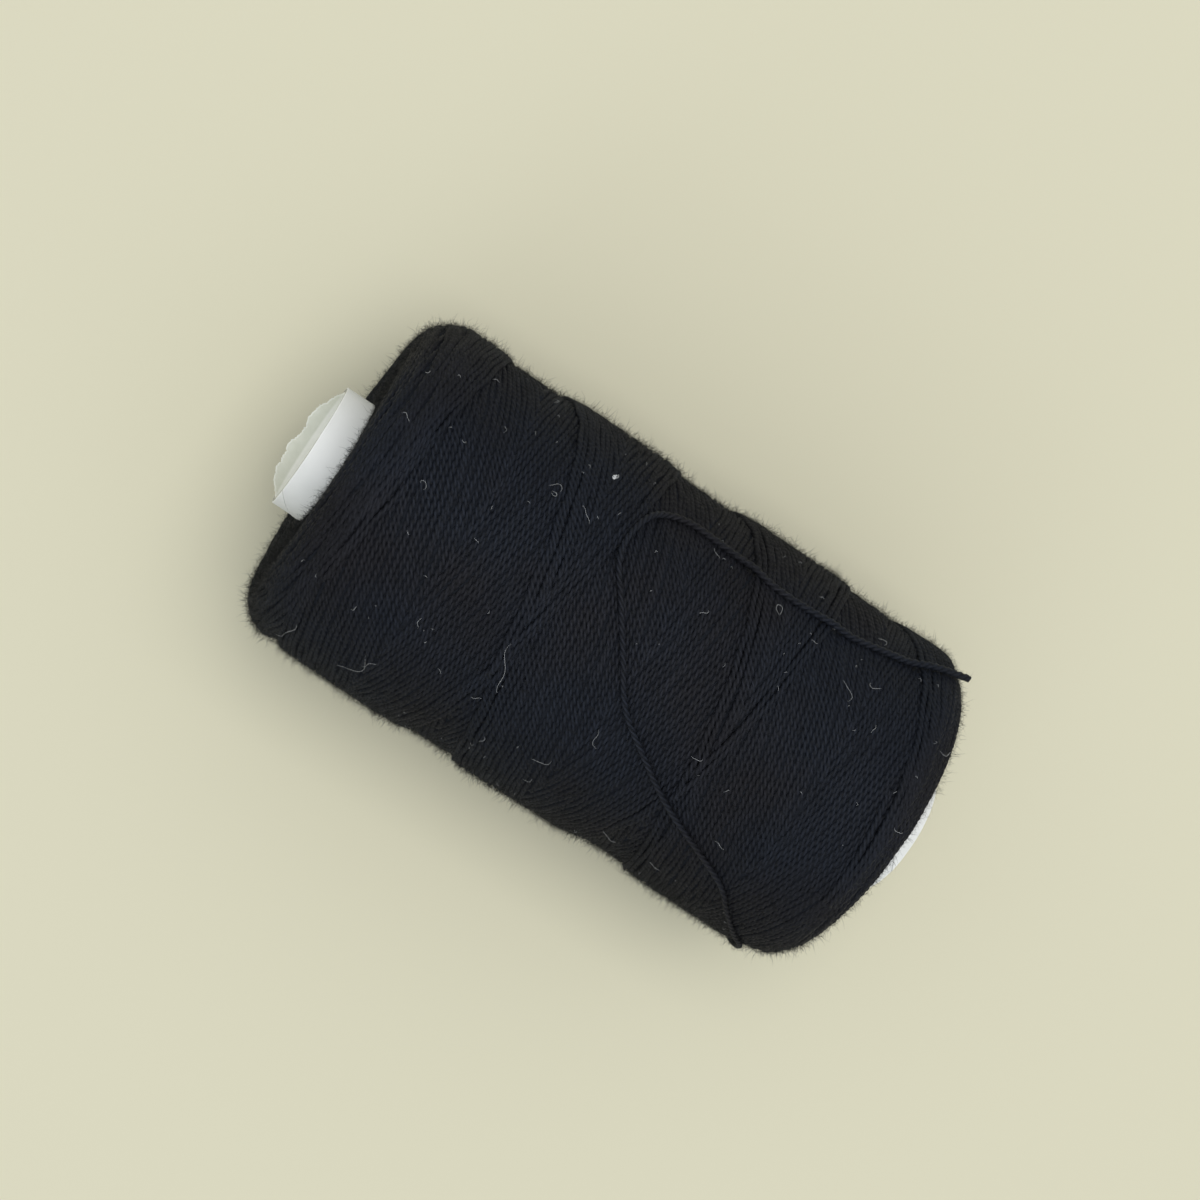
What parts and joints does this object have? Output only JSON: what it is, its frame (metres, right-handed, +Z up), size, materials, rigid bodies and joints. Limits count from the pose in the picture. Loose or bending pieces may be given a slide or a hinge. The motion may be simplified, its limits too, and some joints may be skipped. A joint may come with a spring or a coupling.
{
  "type": "spool of thread",
  "caption": "Cylindrical cross-wound package of black spun thread on a white paper tube, lying on its side with its cut end loose over the winding.",
  "frame": {"origin": "on the axis of the tube's bore, midway along the winding", "axes": "+X along the tube, towards the end where the loose tail's cut end sticks out; +Z up, away from the flattened underside that the winding lies on"},
  "size_m": [0.1082, 0.0548, 0.0544],
  "materials": {
    "cover_paper": "matt white paper",
    "tube_board": "grey board, cut edge",
    "lining_paper": "thin translucent paper",
    "thread": "black spun thread, matt and fuzzy"
  },
  "bodies": {
    "root": {"tube_cover": "cover_paper", "tube_board": "tube_board", "tube_lining": "lining_paper", "winding_core": "thread", "outer_turns": "thread", "loose_tail": "thread"}
  },
  "joints": []
}
